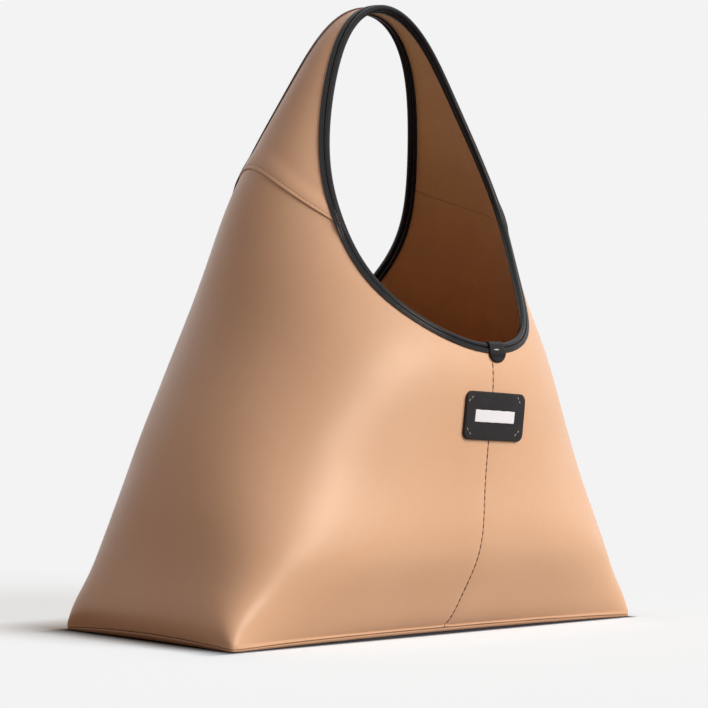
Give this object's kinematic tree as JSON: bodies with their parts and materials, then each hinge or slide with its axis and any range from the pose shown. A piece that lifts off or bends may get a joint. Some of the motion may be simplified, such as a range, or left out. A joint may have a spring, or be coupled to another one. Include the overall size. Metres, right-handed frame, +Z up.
{
  "type": "tote bag",
  "caption": "Unstructured leather tote: flat rectangular base, body tapering up into one wide shoulder strap, two round mouths with bound rims, and a stitched front patch.",
  "frame": {"origin": "centre of the base panel's underside, on the surface that the bag stands on", "axes": "+Z up through the crest of the strap, +X along the bag's length to the viewer's right when the patch faces the viewer, -Y out of the front face that carries the patch"},
  "size_m": [0.4254, 0.2614, 0.4611],
  "materials": {
    "tan_leather": "smooth, soft sheen",
    "base_leather": "smooth, dull",
    "brown_suede": "napped, matte",
    "black_leather": "smooth, satin",
    "grey_fibreboard": "matte",
    "backing_tape": "matte",
    "cotton_filler": "matte",
    "white_woven": "woven, matte"
  },
  "bodies": {
    "root": {"shell_left": "tan_leather", "shell_right": "tan_leather", "strap": "tan_leather", "base_panel": "base_leather", "lining_left": "brown_suede", "lining_right": "brown_suede", "lining_strap": "brown_suede", "lining_base": "brown_suede", "base_board": "grey_fibreboard", "front_binding": "black_leather", "back_binding": "black_leather", "front_binding_cord": "cotton_filler", "back_binding_cord": "cotton_filler", "front_tab": "black_leather", "back_tab": "black_leather", "front_seam_backing": "backing_tape", "back_seam_backing": "backing_tape", "label_patch": "black_leather", "woven_label": "white_woven"}
  },
  "joints": []
}
